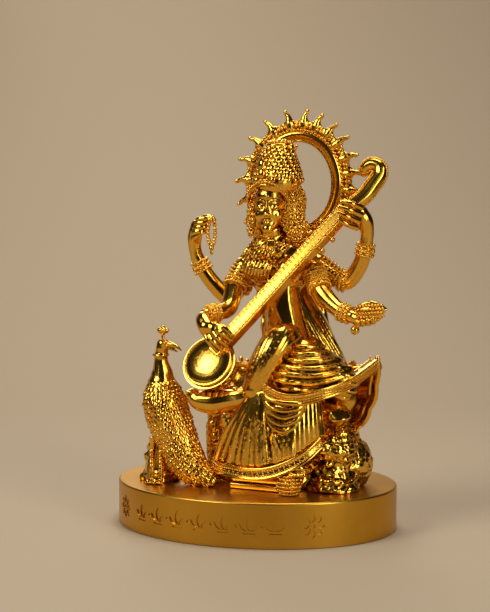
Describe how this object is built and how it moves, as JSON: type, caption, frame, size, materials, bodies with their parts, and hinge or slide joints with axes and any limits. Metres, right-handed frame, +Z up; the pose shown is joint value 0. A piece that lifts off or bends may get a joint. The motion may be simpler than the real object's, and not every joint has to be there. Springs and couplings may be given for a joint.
{
  "type": "hindu deity statue",
  "caption": "Gold-plated four-armed seated goddess playing a long-necked lute beside a peacock, with a rayed halo, on an oval engraved plinth.",
  "frame": {"origin": "centre of the felt pad's underside, on the surface that the statue stands on", "axes": "+Z up, the figure and the engraved front of the plinth face -Y, +X towards the figure's left hand"},
  "size_m": [0.13, 0.103, 0.189],
  "materials": {
    "polished_gold": "mirror-polished gold plate with darker recesses",
    "satin_gold": "satin gold plate, brushed round the wall",
    "fixing_steel": "bright zinc",
    "felt": "pressed felt",
    "cover_board": "moulded board"
  },
  "bodies": {
    "statue": {"armlets": "polished_gold", "bangles": "polished_gold", "bolster": "polished_gold", "cover_screws": "fixing_steel", "crown": "polished_gold", "crown_finial": "polished_gold", "felt_pad": "felt", "figure_screws": "fixing_steel", "foot_step": "polished_gold", "fret_studs": "polished_gold", "hair": "polished_gold", "halo_pins": "fixing_steel", "halo_rays": "polished_gold", "halo_ring": "polished_gold", "halo_stem": "polished_gold", "head": "polished_gold", "left_foot": "polished_gold", "left_lower_arm": "polished_gold", "left_lower_hand": "polished_gold", "left_thigh": "polished_gold", "left_upper_arm": "polished_gold", "left_upper_hand": "polished_gold", "lotus_footrest": "polished_gold", "lotus_throne": "polished_gold", "lute_bowl": "polished_gold", "lute_neck": "polished_gold", "palm_leaf_book": "polished_gold", "peacock_beak": "polished_gold", "peacock_body": "polished_gold", "peacock_crest": "polished_gold", "peacock_legs": "polished_gold", "peacock_neck": "polished_gold", "peacock_rock": "polished_gold", "peacock_screws": "fixing_steel", "peacock_train": "polished_gold", "pegs": "polished_gold", "plinth": "satin_gold", "plinth_cover": "cover_board", "right_foot": "polished_gold", "right_leg": "polished_gold", "right_lower_arm": "polished_gold", "right_lower_hand": "polished_gold", "right_upper_arm": "polished_gold", "right_upper_hand": "polished_gold", "rock_seat": "polished_gold", "screw_washers": "fixing_steel", "scroll_head": "polished_gold", "shoulder_dowels": "fixing_steel", "skirt": "polished_gold", "soundboard": "polished_gold", "torso": "polished_gold", "veil": "polished_gold"},
    "prayer_beads": {"prayer_beads": "polished_gold"}
  },
  "joints": [
    {"name": "beads_swing", "type": "hinge", "parent": "statue", "child": "prayer_beads", "pos_m": [-0.0208, -0.0025, 0.1388], "axis": [0, 1, 0], "range_deg": [-25, 25]}
  ]
}
